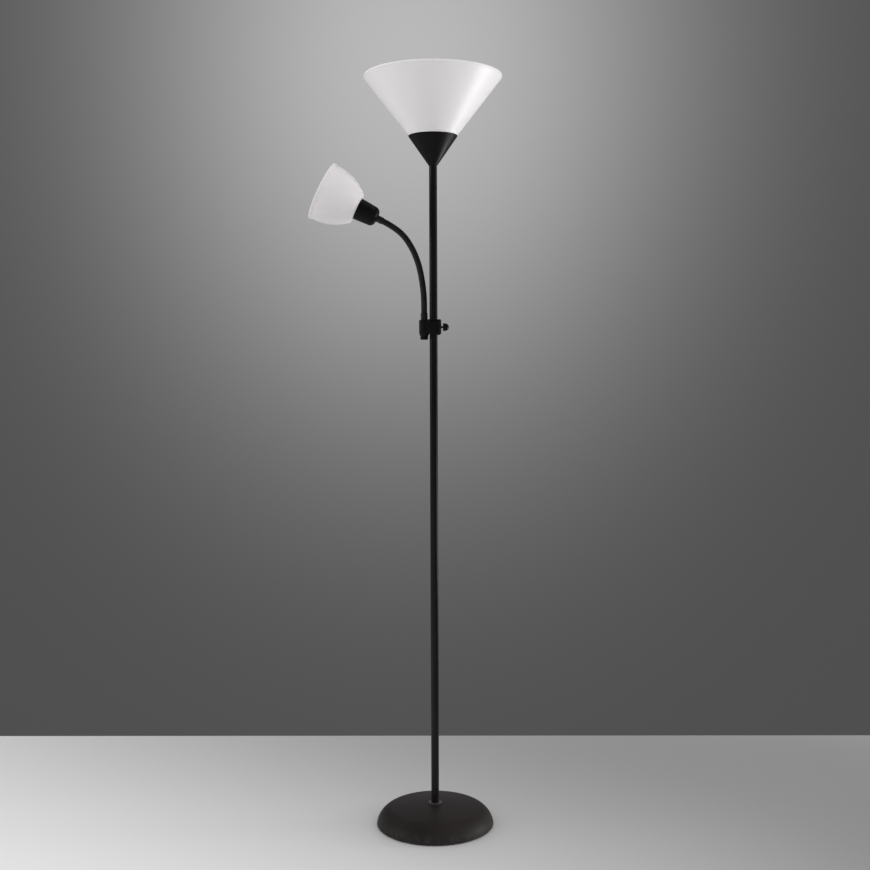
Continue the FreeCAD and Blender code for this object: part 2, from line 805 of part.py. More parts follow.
def supply_wires():
    """From the grommet through the weight, up the pole to the switch."""
    start = dome_radius_at(grommet_height) - grommet_length

    def wire(x):
        low = Vector(x, wire_bend, grommet_height)
        high = Vector(x, 0, grommet_height + wire_bend)
        run = Part.makeCylinder(wire_radius, start - wire_bend, Vector(x, start, grommet_height),
                                Vector(0, -1, 0))
        disc = Part.Face(Part.Wire(Part.makeCircle(wire_radius, low, Vector(0, -1, 0))))
        bend = disc.revolve(Vector(x, wire_bend, high.z), Vector(-1, 0, 0), 90)
        rise = rod(wire_radius, high.z, housing_middle - switch_height / 2, x)
        return run.fuse([bend, rise]).removeSplitter()

    return wire_pair(wire)


def upper_wires():
    """From the switch up the pole into the main socket."""
    bottom = housing_middle + switch_height / 2
    top = pole_top + cup_floor + nut_thickness + washer_thickness + socket_wire_depth
    return wire_pair(lambda x: rod(wire_radius, bottom, top, x))


def neck_feed_wires():
    """From the switch into the barrel, under the spigot of the neck."""
    top = spigot_bottom - wire_step
    level = top - feed_rise - feed_bend

    def wire(y):
        start = Vector(-switch_width / 2, y, level)
        corner = Vector(-barrel_offset + feed_bend, y, level)
        run = Part.makeCylinder(wire_radius, start.x - corner.x, start, Vector(-1, 0, 0))
        disc = Part.Face(Part.Wire(Part.makeCircle(wire_radius, corner, Vector(-1, 0, 0))))
        bend = disc.revolve(corner + Vector(0, 0, feed_bend), Vector(0, 1, 0), 90)
        rise = rod(wire_radius, level + feed_bend, top, -barrel_offset, y)
        return run.fuse([bend, rise]).removeSplitter()

    return wire_pair(wire)


# ---------------------------------------------------------------- sockets, rings and bulbs, turned about Z
def contact(bottom, radius, tip_radius, height):
    """Sprung tongue of a socket, as a stepped button."""
    return turned([(0, bottom), (radius, bottom), (radius, bottom + contact_step),
                   (tip_radius, bottom + height, contact_round), (0, bottom + height)])


def screw_shell(bottom, outer, wall, lip, height):
    return turned([(lip, bottom), (outer, bottom, wall), (outer, bottom + height),
                   (outer - wall, bottom + height), (outer - wall, bottom + wall), (lip, bottom + wall)])


def shade_ring(bottom, inner, outer, height, notches, notch_radius, notch_depth):
    """Screwed ring that clamps a shade, with finger notches round its edge."""
    body = turned([(inner, bottom), (outer, bottom), (outer, bottom + height, shade_ring_round),
                   (inner, bottom + height)])
    return fluted(body, notches, outer, notch_radius, notch_depth, bottom, bottom + height)


def envelope_line(neck, neck_bottom, neck_top, centre, radius):
    """Neck, tangent flank and round top of a bulb, from its open foot to its crown."""
    foot = point(neck, neck_bottom)
    neck_end = point(neck, neck_top)
    touch = tangent_point(neck_end, centre, radius)
    crown = centre + Vector(0, 0, radius)
    return [line(foot, neck_end), line(neck_end, touch), arc_about(centre, radius, touch, crown)]


def bulb(bottom, tip_radius, tip_height, cap_radius, cap_height, neck, neck_height, globe_radius, height):
    """Cap and blown envelope of a bulb that stands on the tip at the bottom of its cap."""
    cap_top = bottom + cap_height
    cap = turned([(0, bottom), (tip_radius, bottom), (cap_radius, bottom + tip_height),
                  (cap_radius, cap_top), (0, cap_top)])
    centre = point(0, bottom + height - globe_radius)
    neck_top = cap_top + neck_height
    outer = envelope_line(neck, cap_top, neck_top, centre, globe_radius)
    inner = envelope_line(neck - bulb_wall, cap_top, neck_top, centre, globe_radius - bulb_wall)
    crown = centre + Vector(0, 0, globe_radius)
    globe = turned_edges(outer + inner + [
        line(crown, crown - Vector(0, 0, bulb_wall)),
        line(point(neck, cap_top), point(neck - bulb_wall, cap_top))])
    return cap, globe


# ---------------------------------------------------------------- top cup and main light
cup_slope = (cup_rim_radius - cup_foot_radius) / cup_height


def cup_inside_radius(height):
    return cup_foot_radius + (height - pole_top) * cup_slope - cup_wall


def top_cup():
    hole = pipe_radius + running_gap
    floor = pole_top + cup_floor
    return turned([(hole, pole_top), (cup_foot_radius, pole_top), (cup_rim_radius, cup_rim),
                   (cup_rim_radius - cup_wall, cup_rim), (cup_inside_radius(floor), floor), (hole, floor)])


def cup_fastening():
    """Threaded pipe from the pole's top bush through the cup into the socket, washer and nut."""
    floor = pole_top + cup_floor
    socket_bottom = floor + washer_thickness + nut_thickness
    pipe_bottom = pole_top - bush_length + pipe_end
    pipe = tube(pipe_radius, pipe_bore_radius, pipe_bottom, socket_bottom + nut_thickness)
    nut = hex_nut(pipe_radius + fit_gap, floor + washer_thickness, socket_bottom)
    return pipe, pipe_washer(floor), nut


def main_socket():
    """Moulded socket body, brass screw shell and centre contact."""
    bottom = pole_top + cup_floor + washer_thickness + nut_thickness
    floor = shade_floor - socket_floor_drop
    top = shade_floor + socket_sleeve_height
    pipe_hole = pipe_radius + fit_gap
    foot_top = bottom + socket_foot_height
    body = turned([
        (pipe_hole, bottom), (socket_foot_radius, bottom), (socket_foot_radius, foot_top),
        (socket_body_radius, foot_top, socket_round), (socket_body_radius, shade_floor - socket_flange),
        (socket_flange_radius, shade_floor - socket_flange), (socket_flange_radius, shade_floor),
        (socket_sleeve_radius, shade_floor), (socket_sleeve_radius, top, socket_round),
        (socket_bore_radius, top),
        (socket_bore_radius, floor), (0, floor), (0, bottom + socket_wire_depth),
        (pipe_bore_radius, bottom + socket_wire_depth), (pipe_bore_radius, bottom + nut_thickness),
        (pipe_hole, bottom + nut_thickness)])
    shell = screw_shell(floor, shell_outer_radius, shell_wall, shell_lip_radius, shell_height)
    return body, shell, contact(floor, contact_radius, contact_tip_radius, contact_height)


def main_shade():
    """Cone with a flat bottom, a skirt inside the cup, a bead on its rim and a turned-up lip."""
    hole = socket_sleeve_radius + fit_gap
    inside_floor = shade_floor + shade_wall
    skirt_low = cup_inside_radius(shade_floor) - shade_skirt_gap
    skirt_top = cup_inside_radius(cup_rim) - shade_skirt_gap
    cone_start = cup_rim + shade_bead_height
    cone_end = cup_rim + shade_cone_height
    lip_end = cone_end + shade_lip_height
    bead_inner = shade_bead_radius - shade_bead_step
    slope = (shade_cone_radius - bead_inner) / (cone_end - cone_start)
    across = shade_wall * math.hypot(1, slope)
    inner_low = skirt_low + inside_floor - shade_floor - across / 2
    lip_inner = shade_lip_radius - shade_wall
    inner_top = cone_end + (lip_inner - shade_cone_radius + across) / slope
    return turned([
        (hole, shade_floor), (skirt_low, shade_floor, shade_foot_round), (skirt_top, cup_rim),
        (shade_bead_radius, cup_rim), (shade_bead_radius, cone_start, shade_bead_step / 2),
        (bead_inner, cone_start), (shade_cone_radius, cone_end, shade_flare_round),
        (shade_lip_radius, cone_end + shade_lip_flare, shade_flare_round),
        (shade_lip_radius, lip_end, shade_lip_round), (lip_inner, lip_end, shade_lip_round),
        (lip_inner, inner_top), (bead_inner - across, cone_start),
        (inner_low, inside_floor), (hole, inside_floor)])


# ---------------------------------------------------------------- reading light, drawn upright, then leant over
head_origin, head_lean = neck_frames()[-1]
head_cup_rim = head_ferrule_length + head_cup_length


def leant(shape):
    """Put a piece of the head, drawn upright from the neck's end, in its place."""
    copy = shape.copy()
    copy.Placement = Placement(head_origin, Rotation(Vector(0, 1, 0), -head_lean))
    return copy


def head_ferrule():
    floor = head_ferrule_length - ferrule_floor
    spigot_top = head_ferrule_length + head_spigot_length
    return turned([
        (neck_radius + fit_gap, 0), (ferrule_radius, 0, ferrule_round / 2),
        (ferrule_radius, head_ferrule_length), (pipe_radius, head_ferrule_length),
        (pipe_radius, spigot_top), (pipe_bore_radius, spigot_top), (pipe_bore_radius, floor),
        (neck_radius + fit_gap, floor)])


def head_cup():
    back = head_ferrule_length
    hole = pipe_radius + running_gap
    inner_floor = back + head_cup_back_wall
    inner_back = head_cup_back_radius - head_cup_wall
    shoulder = head_cup_back_radius - head_cup_back_flat
    return turned([
        (hole, back), (head_cup_back_radius, back, shoulder),
        (head_cup_rim_radius, head_cup_rim), (head_cup_rim_radius - head_cup_wall, head_cup_rim),
        (inner_back, inner_floor, shoulder - head_cup_wall), (hole, inner_floor)])


def head_nut():
    bottom = head_ferrule_length + head_cup_back_wall
    return hex_nut(pipe_radius + fit_gap, bottom, bottom + nut_thickness)


def head_socket():
    plane = head_cup_rim
    bottom = plane - head_socket_length
    floor = plane - head_bore_depth
    top = plane + head_sleeve_height
    body = turned([
        (0, bottom), (head_socket_radius, bottom, head_socket_round),
        (head_socket_radius, plane - head_flange),
        (head_flange_radius, plane - head_flange), (head_flange_radius, plane),
        (head_sleeve_radius, plane), (head_sleeve_radius, top, head_socket_round),
        (head_bore_radius, top), (head_bore_radius, floor), (0, floor)])
    shell = screw_shell(floor, head_shell_outer_radius, head_shell_wall, head_shell_lip_radius,
                        head_shell_height)
    return body, shell, contact(floor, head_contact_radius, head_contact_tip_radius, head_contact_height)


def bell_line(inset):
    """Flat back, shoulder arc, flank arc and straight end of the bell, set in from the outside."""
    hole = head_sleeve_radius + fit_gap
    flank_centre = point(bell_radius - bell_flank_radius, head_cup_rim + bell_flank_end)
    rise = bell_flank_end - bell_shoulder_radius
    reach = math.sqrt((bell_flank_radius - bell_shoulder_radius) ** 2 - rise ** 2)
    shoulder_centre = point(flank_centre.x + reach, head_cup_rim + bell_shoulder_radius)
    shoulder = bell_shoulder_radius - inset
    flank = bell_flank_radius - inset
    back = point(shoulder_centre.x, head_cup_rim + inset)
    meet = circle_point(flank_centre, flank, math.atan2(-rise, reach))
    flank_end = point(bell_radius - inset, flank_centre.z)
    last = point(bell_radius - inset, head_cup_rim + bell_lip_start)
    return [line(point(hole, back.z), back), arc_about(shoulder_centre, shoulder, back, meet),
            arc_about(flank_centre, flank, meet, flank_end), line(flank_end, last)]


def lip_line(inset):
    """Two equal arcs that carry the bell's wall outwards to the lip, set in from the outside."""
    step = bell_lip_radius - bell_radius
    run = bell_lip_end - bell_lip_start
    bend = (run ** 2 + step ** 2) / (4 * step)
    low = point(bell_radius + bend, head_cup_rim + bell_lip_start)
    high = point(bell_lip_radius - bend, head_cup_rim + bell_lip_end)
    meet = circle_point(high, bend - inset, math.atan2(low.z - high.z, low.x - high.x))
    end = point(bell_lip_radius - inset, high.z)
    return [arc_about(low, bend + inset, point(bell_radius - inset, low.z), meet),
            arc_about(high, bend - inset, meet, end)], end


def reading_shade():
    """Bell-shaped shade: flat back round the socket, rounded shoulder, small flared lip at the mouth."""
    hole = head_sleeve_radius + fit_gap
    wall = head_shade_wall
    outer_flare, outer_last = lip_line(0.0)
    inner_flare, inner_last = lip_line(wall)
    end = head_cup_rim + bell_length
    round_centre = point(bell_lip_radius - wall / 2, end - wall / 2)
    lip_outer = point(bell_lip_radius, round_centre.z)
    lip_inner = point(bell_lip_radius - wall, round_centre.z)
    edges = bell_line(0.0) + outer_flare + bell_line(wall) + inner_flare + [
        line(outer_last, lip_outer),
        arc(lip_outer, point(round_centre.x, end), lip_inner),
        line(lip_inner, inner_last),
        line(point(hole, head_cup_rim), point(hole, head_cup_rim + wall))]
    return turned_edges(edges)


# ---------------------------------------------------------------- the lamp, node by node
def lamp_nodes():
    nodes = {
        "base_cover": base_cover(), "base_weight": base_weight(), "base_pad": base_pad(),
        "base_collar": base_collar(), "cord_grommet": cord_grommet(),
        "pole_lower": pole_section(pole_bottom, middle_pole_bottom),
        "pole_middle": pole_section(middle_pole_bottom, middle_pole_end),
        "pole_upper": pole_section(upper_pole_start, pole_top),
        "pole_end_bushes": pole_end_bushes(),
        "pole_joint_bush": pole_bush(middle_pole_bottom - joint_bush_length / 2,
                                     middle_pole_bottom + joint_bush_length / 2, joint_bush_bore_radius),
        "pole_end_rings": pole_end_rings(),
        "housing_screws": housing_screws(), "switch_body": switch_body(),
        "switch_shaft": switch_shaft(), "switch_knob": switch_knob(),
        "supply_wires": supply_wires(), "upper_wires": upper_wires(),
        "neck_feed_wires": neck_feed_wires(),
        "neck_foot": neck_foot(), "neck_end_cap": neck_end_cap(),
        "top_cup": top_cup(), "main_shade": main_shade(),
    }
    nodes["base_pipe"], base_washer, base_nut = base_fastening()
    nodes["housing_front"], nodes["housing_back"] = housing_halves()
    nodes["neck_washer"], nodes["neck_nut"] = neck_fastening()
    nodes["cup_pipe"], cup_washer, cup_nut = cup_fastening()
    nodes["pipe_washers"] = Part.makeCompound([base_washer, cup_washer])
    nodes["pipe_nuts"] = Part.makeCompound([base_nut, cup_nut])

    names = ("foot", "1", "2", "3", "4", "head")
    for name, covered, wires in zip(names, neck_tubes(), neck_wires()):
        nodes["neck_tube_" + name] = covered
        nodes["neck_wires_" + name] = wires

    body, shell, tongue = main_socket()
    nodes.update(main_socket_body=body, main_socket_shell=shell, main_socket_contact=tongue)
    nodes["main_shade_ring"] = shade_ring(shade_floor + shade_wall, socket_sleeve_radius + fit_gap,
                                          shade_ring_radius, shade_ring_height, shade_ring_notches,
                                          shade_ring_notch_radius, shade_ring_notch_depth)
    bulb_bottom = shade_floor - socket_floor_drop + contact_height + seat_lift
    nodes["main_bulb_cap"], nodes["main_bulb_globe"] = bulb(
        bulb_bottom, bulb_tip_radius, bulb_tip_height, bulb_cap_radius, bulb_cap_height,
        bulb_neck_radius, bulb_neck_height, bulb_radius, bulb_height)

    body, shell, tongue = head_socket()
    ring = shade_ring(head_cup_rim + head_shade_wall, head_sleeve_radius + fit_gap, head_ring_radius,
                      head_ring_height, head_ring_notches, head_ring_notch_radius,
                      head_ring_notch_depth)
    cap_bottom = head_cup_rim - head_bore_depth + head_contact_height + seat_lift
    cap, globe = bulb(cap_bottom, reading_tip_radius, reading_tip_height, reading_cap_radius,
                      reading_cap_height, reading_neck_radius, reading_neck_height,
                      reading_bulb_radius, reading_bulb_height)
    head = {"head_ferrule": head_ferrule(), "head_cup": head_cup(), "head_nut": head_nut(),
            "head_socket_body": body, "head_socket_shell": shell, "head_socket_contact": tongue,
            "head_shade_ring": ring, "reading_shade": reading_shade(),
            "reading_bulb_cap": cap, "reading_bulb_globe": globe}
    for name, piece in head.items():
        nodes[name] = leant(piece)
    return nodes


os.makedirs("parts", exist_ok=True)
for node_name, shape in sorted(lamp_nodes().items()):
    valid = "valid" if shape.isValid() else "NOT VALID"
    print(f"{node_name:22s} {len(shape.Solids)} solid(s) {shape.Volume:12.1f} mm3 {valid}")
    shape.exportStep(os.path.join("parts", node_name + ".step"))
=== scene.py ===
import math

import bmesh
import bpy
import numpy as np
from mathutils import Matrix, Vector


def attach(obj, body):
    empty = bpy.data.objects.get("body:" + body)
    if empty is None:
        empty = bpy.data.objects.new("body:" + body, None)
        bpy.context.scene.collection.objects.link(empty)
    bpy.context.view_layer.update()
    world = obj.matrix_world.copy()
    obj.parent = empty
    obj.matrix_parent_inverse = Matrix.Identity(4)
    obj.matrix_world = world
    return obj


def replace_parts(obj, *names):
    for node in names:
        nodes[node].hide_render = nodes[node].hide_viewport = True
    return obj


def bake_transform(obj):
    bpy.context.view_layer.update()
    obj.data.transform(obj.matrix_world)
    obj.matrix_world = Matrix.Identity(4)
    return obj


# Torchiere floor lamp with a reading light on a gooseneck. Metres, +Z up, reading light towards -X.
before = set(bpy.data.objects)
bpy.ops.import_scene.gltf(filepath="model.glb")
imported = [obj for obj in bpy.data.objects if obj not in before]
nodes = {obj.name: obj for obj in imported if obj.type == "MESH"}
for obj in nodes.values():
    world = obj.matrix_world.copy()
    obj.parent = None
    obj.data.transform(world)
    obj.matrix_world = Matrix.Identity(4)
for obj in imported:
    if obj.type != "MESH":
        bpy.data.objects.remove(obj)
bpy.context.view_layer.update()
print("frame loaded:", len(nodes), "pieces of the solid model")


# One socket of a node, so that shader maths reads as plain expressions on values.
class Link:
    def __init__(self, finish, socket):
        self.finish = finish
        self.socket = socket

    def maths(self, operation, *others):
        return self.finish.node("ShaderNodeMath", {"operation": operation}, [self, *others])

    def __add__(self, other):
        return self.maths("ADD", other)

    def __sub__(self, other):
        return self.maths("SUBTRACT", other)

    def __mul__(self, other):
        return self.maths("MULTIPLY", other)

    def __truediv__(self, other):
        return self.maths("DIVIDE", other)

    def __rsub__(self, other):
        return self.finish.node("ShaderNodeMath", {"operation": "SUBTRACT"}, [other, self])

    def __rtruediv__(self, other):
        return self.finish.node("ShaderNodeMath", {"operation": "DIVIDE"}, [other, self])

    def __neg__(self):
        return self * -1.0

    __radd__ = __add__

    # 0 below low, 1 above high, with a smooth step between
    def step(self, low, high):
        settings = {"interpolation_type": "SMOOTHSTEP"}
        return self.finish.node("ShaderNodeMapRange", settings, [self, low, high, 0.0, 1.0])

    def limited(self, low, high):
        return self.maths("MAXIMUM", low).maths("MINIMUM", high)


# A node tree under construction: a material's or the world's.
class Finish:
    def __init__(self, owner):
        self.owner = owner
        owner.use_nodes = True
        self.tree = owner.node_tree
        self.tree.nodes.clear()

    # Any node from its type, its settings, which are set first, and the values or links of its sockets
    def node(self, kind, settings=None, sockets=(), output=0):
        made = self.tree.nodes.new(kind)
        for key, value in (settings or {}).items():
            setattr(made, key, value)
        pairs = sockets.items() if isinstance(sockets, dict) else enumerate(sockets)
        for key, value in pairs:
            if isinstance(value, Link):
                self.tree.links.new(value.socket, made.inputs[key])
            else:
                made.inputs[key].default_value = value
        return Link(self, made.outputs[output]) if len(made.outputs) else None

    def place(self, scale=(1.0, 1.0, 1.0)):
        where = self.node("ShaderNodeTexCoord", output="Object")
        return self.node("ShaderNodeMapping", {}, {"Vector": where, "Scale": scale})

    def parts(self, vector):
        split = self.node("ShaderNodeSeparateXYZ", {}, [vector])
        return [Link(self, split.socket.node.outputs[axis]) for axis in range(3)]

    def noise(self, vector, scale, detail=2.0, roughness=0.5):
        return self.node("ShaderNodeTexNoise", {}, {"Vector": vector, "Scale": scale, "Detail": detail,
                                                    "Roughness": roughness})

    def cells(self, vector, scale):
        return self.node("ShaderNodeTexVoronoi", {}, {"Vector": vector, "Scale": scale})

    # colour a where share is 0, b where it is 1
    def blend(self, share, a, b):
        a, b = [(*c, 1.0) if isinstance(c, tuple) else c for c in (a, b)]
        return self.node("ShaderNodeMix", {"data_type": "RGBA"}, {0: share, 6: a, 7: b}, output=2)

    def grey(self, tone):
        return self.node("ShaderNodeCombineXYZ", {}, [tone, tone, tone])

    def bump(self, height, depth):
        return self.node("ShaderNodeBump", {}, {"Height": height, "Distance": depth})

    def close(self, **sockets):
        named = {key.replace("_", " "): value for key, value in sockets.items()}
        shader = self.node("ShaderNodeBsdfPrincipled", {}, named)
        self.node("ShaderNodeOutputMaterial", {}, {"Surface": shader})
        return self.owner


def newFinish(name):
    return Finish(bpy.data.materials.new(name))


# What the four paints have in common: edges of the masks, and how much each mask changes the roughness
paintSkin = {
    "driftEdge": (0.3, 0.7), "speckEdge": (0.10, 0.22), "dustScale": 90.0, "dustEdge": (0.40, 0.75),
    "driftRough": 0.10, "speckRough": 0.03, "dustRough": 0.25, "peelPart": 0.7, "speckPart": 0.3}


# Satin powder coat or lacquer: a fine orange peel with specks and a slow drift of tone.
# A paint with a dust colour also gets dust, full below dustLow and gone above dustHigh.
def paintedSteel(name, values):
    f = newFinish(name)
    where = f.place()
    drift = f.noise(where, values["driftScale"], 3.0)
    peel = f.noise(where, values["peelScale"], 2.0, 0.6)
    specks = f.cells(where, values["speckScale"]).step(*paintSkin["speckEdge"])
    toned = f.blend(drift.step(*paintSkin["driftEdge"]), values["dark"], values["light"])
    rough = values["rough"] + (drift - 0.5) * paintSkin["driftRough"]
    rough = rough + (1.0 - specks) * paintSkin["speckRough"]
    if "dustColour" in values:
        height = f.parts(where)[2]
        low = 1.0 - height.step(values["dustLow"], values["dustHigh"])
        dust = low * f.noise(where, paintSkin["dustScale"], 4.0, 0.7).step(*paintSkin["dustEdge"])
        toned = f.blend(dust * values["dustShare"], toned, values["dustColour"])
        rough = rough + dust * paintSkin["dustRough"]
    relief = peel * paintSkin["peelPart"] + specks * paintSkin["speckPart"]
    return f.close(Base_Color=toned, Roughness=rough, Normal=f.bump(relief, values["peelDepth"]),
                   Specular_IOR_Level=values["shine"])


basePaint = paintedSteel("charcoalPowderCoat", {
    "dark": (0.0155, 0.0110, 0.0116), "light": (0.0205, 0.0158, 0.0152), "driftScale": 9.0,
    "peelScale": 1100.0, "speckScale": 1500.0, "peelDepth": 0.000012, "rough": 0.50, "shine": 0.24,
    "dustLow": 0.002, "dustHigh": 0.030, "dustShare": 0.16, "dustColour": (0.20, 0.19, 0.18)})
polePaint = paintedSteel("blackPoleLacquer", {
    "dark": (0.0018, 0.0011, 0.0013), "light": (0.0030, 0.0020, 0.0022), "driftScale": 5.0,
    "peelScale": 1700.0, "speckScale": 2600.0, "peelDepth": 0.000002, "rough": 0.28, "shine": 0.25,
    "dustLow": 0.050, "dustHigh": 0.090, "dustShare": 0.10, "dustColour": (0.16, 0.15, 0.15)})
# The collar is charcoal paint like the base, made lighter than the base's as a painted highlight on the
# ring.
collarPaintedHighlight = paintedSteel("collarLacquerPaintedHighlight", {
    "dark": (0.0350, 0.0305, 0.0305), "light": (0.0450, 0.0400, 0.0400), "driftScale": 40.0,
    "peelScale": 1700.0, "speckScale": 2600.0, "peelDepth": 0.000003, "rough": 0.30, "shine": 0.40})
ferrulePaint = paintedSteel("blackenedSteel", {
    "dark": (0.0050, 0.0042, 0.0043), "light": (0.0080, 0.0070, 0.0070), "driftScale": 60.0,
    "peelScale": 2400.0, "speckScale": 3200.0, "peelDepth": 0.000004, "rough": 0.32, "shine": 0.30})


# Grain and wear of the black mouldings; pitScale is a share of the grain's scale, so pits are a little wider
mouldSkin = {
    "toneScale": 14.0, "rubScale": 28.0, "rubEdge": (0.48, 0.66), "rubRough": 0.08, "grainRough": 0.08,
    "pitScale": 0.8, "grainPart": 0.6, "pitPart": 0.4}


# Black moulded plastic: the even grain of a spark-eroded mould, with rubbed patches a little glossier.
def mouldedPlastic(name, values):
    f = newFinish(name)
    where = f.place()
    grain = f.noise(where, values["grainScale"], 3.0, 0.7)
    pits = f.cells(where, values["grainScale"] * mouldSkin["pitScale"])
    rubbed = f.noise(where, mouldSkin["rubScale"]).step(*mouldSkin["rubEdge"])
    toned = f.blend(f.noise(where, mouldSkin["toneScale"]), values["dark"], values["light"])
    rough = values["rough"] - rubbed * mouldSkin["rubRough"] + (grain - 0.5) * mouldSkin["grainRough"]
    relief = grain * mouldSkin["grainPart"] + pits * mouldSkin["pitPart"]
    return f.close(Base_Color=toned, Roughness=rough, Normal=f.bump(relief, values["grainDepth"]),
                   Specular_IOR_Level=values["shine"])


blackPlastic = mouldedPlastic("blackMoulding", {
    "dark": (0.0032, 0.0025, 0.0026), "light": (0.0048, 0.0040, 0.0041), "grainScale": 1900.0,
    "grainDepth": 0.000012, "rough": 0.44, "shine": 0.14})
phenolic = mouldedPlastic("phenolicMoulding", {
    "dark": (0.010, 0.009, 0.009), "light": (0.020, 0.018, 0.017), "grainScale": 900.0,
    "grainDepth": 0.000006, "rough": 0.22, "shine": 0.5})


# Sleeve of the gooseneck: soft black plastic with a fine grain and a matt bloom. Its ribs are in its mesh.
def sleeveFinish(name, values):
    f = newFinish(name)
    where = f.place()
    bloom = f.noise(where, values["bloomScale"], 3.0)
    grain = f.noise(where, values["grainScale"])
    toned = f.blend(bloom.step(*values["bloomEdge"]), values["dark"], values["light"])
    rough = values["rough"] + (bloom - 0.5) * values["bloomRough"]
    return f.close(Base_Color=toned, Roughness=rough, Normal=f.bump(grain, values["grainDepth"]),
                   Specular_IOR_Level=values["shine"])


neckCover = sleeveFinish("neckSleeve", {
    "dark": (0.0040, 0.0036, 0.0036), "light": (0.0075, 0.0068, 0.0068), "bloomScale": 45.0,
    "bloomEdge": (0.35, 0.7), "bloomRough": 0.14, "grainScale": 2600.0, "grainDepth": 0.000005,
    "rough": 0.38, "shine": 0.30})


# Flow marks, clouds and skin that both shades share
shadeSkin = {
    "flowAround": 1.6, "flowUp": 5.0, "streakScale": 4.0, "cloudScale": 7.0, "skinScale": 1300.0,
    "streakPart": 0.6, "cloudPart": 0.4, "streakRough": 0.08, "skinRelief": 0.7, "streakRelief": 0.3,
    "reliefDepth": 0.00002, "throughRadius": (1.0, 0.94, 0.92), "refraction": 1.46}


# Milky moulded shade: white plastic that lets some light through, with a satin skin.
# Its faint flow marks are a noise on the angle round z and on the height, so on the cone they run upwards.
def milkyShade(name, values):
    f = newFinish(name)
    where = f.place()
    x, y, z = f.parts(where)
    around = x.maths("ARCTAN2", y) * shadeSkin["flowAround"]
    flow = f.node("ShaderNodeCombineXYZ", {}, [around, z * shadeSkin["flowUp"], 0.0])
    streaks = f.noise(flow, shadeSkin["streakScale"], 4.0, 0.55)
    cloud = f.noise(where, shadeSkin["cloudScale"])
    skin = f.noise(where, shadeSkin["skinScale"])
    share = streaks * shadeSkin["streakPart"] + cloud * shadeSkin["cloudPart"]
    relief = skin * shadeSkin["skinRelief"] + streaks * shadeSkin["streakRelief"]
    return f.close(Base_Color=f.blend(share, values["shadow"], values["clear"]),
                   Roughness=values["rough"] + (streaks - 0.5) * shadeSkin["streakRough"],
                   Normal=f.bump(relief, shadeSkin["reliefDepth"]), Subsurface_Weight=values["through"],
                   Subsurface_Radius=shadeSkin["throughRadius"], Subsurface_Scale=values["throughDepth"],
                   IOR=shadeSkin["refraction"])


mainMilky = milkyShade("milkyConeShade", {
    "shadow": (0.812, 0.784, 0.797), "clear": (0.845, 0.826, 0.835), "rough": 0.34, "through": 0.55,
    "throughDepth": 0.006})
readingMilky = milkyShade("milkyBellShade", {
    "shadow": (0.780, 0.744, 0.754), "clear": (0.812, 0.786, 0.793), "rough": 0.34, "through": 0.55,
    "throughDepth": 0.006})


# Opal bulb glass: an even white lacquer inside clear glass.
def opalGlass(name, values):
    f = newFinish(name)
    haze = f.noise(f.place(), values["hazeScale"])
    return f.close(Base_Color=f.blend(haze, values["dark"], values["light"]),
                   Roughness=values["rough"] + (haze - 0.5) * values["hazeRough"],
                   Normal=f.bump(haze, values["hazeDepth"]), Coat_Weight=1.0,
                   Coat_Roughness=values["glassRough"])


opalBulb = opalGlass("opalBulb", {
    "dark": (0.82, 0.82, 0.81), "light": (0.88, 0.88, 0.87), "hazeScale": 30.0, "hazeDepth": 0.00005,
    "rough": 0.30, "hazeRough": 0.1, "glassRough": 0.04})


# Brushed lines and tarnish that the bare metals share
metalSkin = {"tarnishEdge": (0.45, 0.75), "tarnishRough": 0.15, "lineRough": 0.10, "lineDepth": 0.00001}


# Bare metals: brushed or drawn lines along z, and a light tarnish in patches.
def bareMetal(name, values):
    f = newFinish(name)
    lines = f.noise(f.place(scale=values["lines"]), 1.0, 3.0, 0.6)
    tarnish = f.noise(f.place(), values["tarnishScale"], 4.0, 0.6).step(*metalSkin["tarnishEdge"])
    toned = f.blend(tarnish * values["tarnish"], values["bright"], values["dull"])
    rough = values["rough"] + tarnish * metalSkin["tarnishRough"] + (lines - 0.5) * metalSkin["lineRough"]
    return f.close(Base_Color=toned, Metallic=1.0, Roughness=rough,
                   Normal=f.bump(lines, metalSkin["lineDepth"]))


zincSteel = bareMetal("zincPlatedSteel", {
    "bright": (0.60, 0.61, 0.62), "dull": (0.36, 0.37, 0.37), "lines": (900.0, 900.0, 160.0),
    "tarnishScale": 120.0, "tarnish": 0.6, "rough": 0.30})
brass = bareMetal("plainBrass", {
    "bright": (0.80, 0.60, 0.28), "dull": (0.42, 0.29, 0.13), "lines": (700.0, 700.0, 90.0),
    "tarnishScale": 90.0, "tarnish": 0.7, "rough": 0.24})
nickel = bareMetal("nickelBulbCap", {
    "bright": (0.70, 0.69, 0.66), "dull": (0.45, 0.44, 0.41), "lines": (500.0, 500.0, 60.0),
    "tarnishScale": 150.0, "tarnish": 0.4, "rough": 0.22})


# Cast cement: pale lime skin over sand grains, with the pits that trapped air leaves, painted darker as
# painted shade in their hollows.
def castCement(name, values):
    f = newFinish(name)
    where = f.place()
    sand = f.cells(where, values["sandScale"])
    skin = f.cells(where, values["pitScale"]).step(*values["pitEdge"])
    stain = f.noise(where, values["stainScale"], 4.0, 0.6)
    toned = f.blend(stain, values["dark"], values["light"])
    relief = sand * values["sandPart"] + skin * values["pitPart"]
    # the pits get a dark colour: painted shade in their hollows
    return f.close(Base_Color=f.blend(1.0 - skin, toned, values["pitShadeColour"]),
                   Roughness=values["rough"] + (stain - 0.5) * values["stainRough"],
                   Normal=f.bump(relief, values["depth"]))


